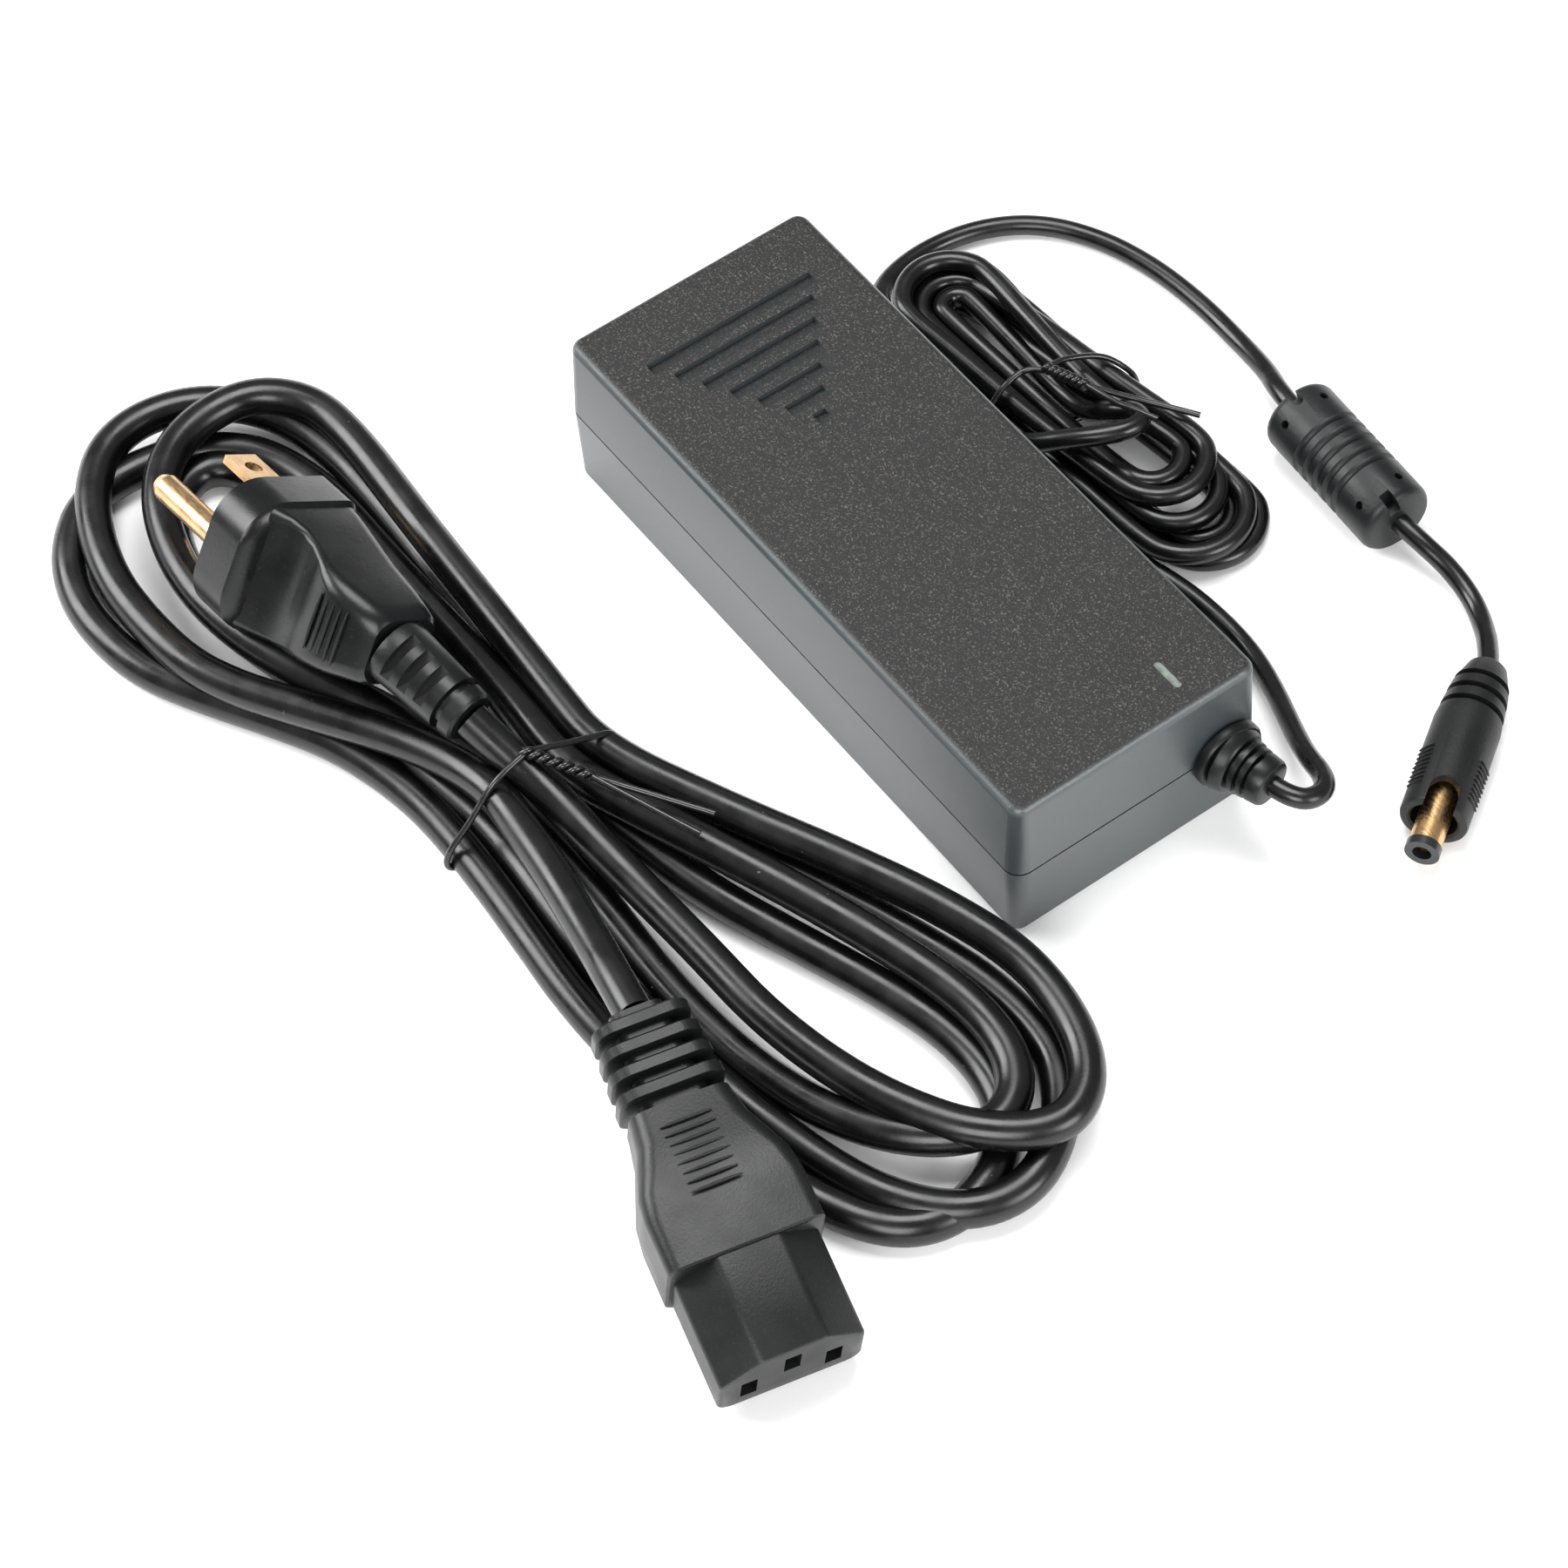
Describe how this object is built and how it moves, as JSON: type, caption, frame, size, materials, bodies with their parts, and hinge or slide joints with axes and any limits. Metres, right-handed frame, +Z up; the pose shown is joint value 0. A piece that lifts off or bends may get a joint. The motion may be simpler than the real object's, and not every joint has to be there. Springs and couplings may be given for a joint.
{
  "type": "laptop power adapter",
  "caption": "Black laptop power brick with fixed output cord, ferrite bead and barrel plug, beside its coiled mains cord set.",
  "frame": {"origin": "bottom centre of the brick, on the surface it stands on", "axes": "+X along the brick towards the output cord, +Y towards the coiled output cord, +Z up"},
  "size_m": [0.2261, 0.1993, 0.0358],
  "materials": {
    "case_top": "black textured ABS",
    "label": "blank printed film",
    "pipe": "clear light pipe",
    "led": "clear epoxy lamp",
    "inlet_plastic": "smooth black",
    "nickel": "nickel plated",
    "board": "green solder mask",
    "sheet": "thin insulating film",
    "glass_fuse": "moulded fuse body",
    "ceramic_disc": "dipped ceramic",
    "capacitor_box": "yellow potted box",
    "ferrite": "sintered ferrite",
    "copper": "enamelled copper",
    "yellow_tape": "polyester tape",
    "component_black": "moulded black",
    "sink": "sheet aluminium",
    "screw": "zinc plated",
    "wire_red": "wire insulation",
    "wire_black": "wire insulation",
    "soft_black": "satin PVC jacket",
    "tie_wire": "plastic coated wire",
    "bead_black": "moulded PVC",
    "plug_black": "moulded PVC",
    "gold": "gold plated",
    "tip_black": "black insulator",
    "contact": "plated phosphor bronze",
    "socket_grey": "moulded PVC",
    "brass": "brass"
  },
  "bodies": {
    "root": {"bridge_rectifier": "component_black", "bulk_capacitor": "component_black", "choke_core": "ferrite", "choke_winding": "copper", "circuit_board": "board", "control_chip": "component_black", "dc_cord_coil": "soft_black", "dc_cord_lead": "soft_black", "dc_cord_run": "soft_black", "dc_cord_tail": "soft_black", "dc_cord_tie": "tie_wire", "dc_plug_body": "plug_black", "dc_plug_contact": "contact", "dc_plug_sleeve": "gold", "dc_plug_tip_ring": "tip_black", "dc_strain_relief": "soft_black", "ferrite_core": "ferrite", "ferrite_cover": "bead_black", "fuse": "glass_fuse", "heatsink_screws": "screw", "inlet_housing": "inlet_plastic", "inlet_pin_earth": "nickel", "inlet_pin_live": "nickel", "inlet_pin_neutral": "nickel", "insulating_sheet": "sheet", "light_pipe": "pipe", "lower_shell": "case_top", "optocoupler": "component_black", "output_capacitor_1": "component_black", "output_capacitor_2": "component_black", "output_choke": "ferrite", "output_rectifier": "component_black", "output_wire_negative": "wire_black", "output_wire_positive": "wire_red", "primary_heatsink": "sink", "rating_label": "label", "secondary_heatsink": "sink", "status_led": "led", "switching_transistor": "component_black", "transformer_bobbin": "component_black", "transformer_core": "ferrite", "transformer_winding": "yellow_tape", "upper_shell": "case_top", "varistor": "ceramic_disc", "x_capacitor": "capacitor_box", "y_capacitors": "ceramic_disc"},
    "mains_cord_set": {"mains_blade_live": "brass", "mains_blade_neutral": "brass", "mains_cord_hank": "soft_black", "mains_cord_lead": "soft_black", "mains_cord_tail": "soft_black", "mains_cord_tie": "tie_wire", "mains_ground_pin": "brass", "mains_plug_body": "plug_black", "mains_plug_relief": "soft_black", "mains_socket_body": "socket_grey", "mains_socket_contacts": "contact"}
  },
  "joints": [
    {"name": "mains_cord_lift", "type": "slide", "parent": "root", "child": "mains_cord_set", "axis": [0, 0, 1], "range_m": [0, 0.1]}
  ]
}
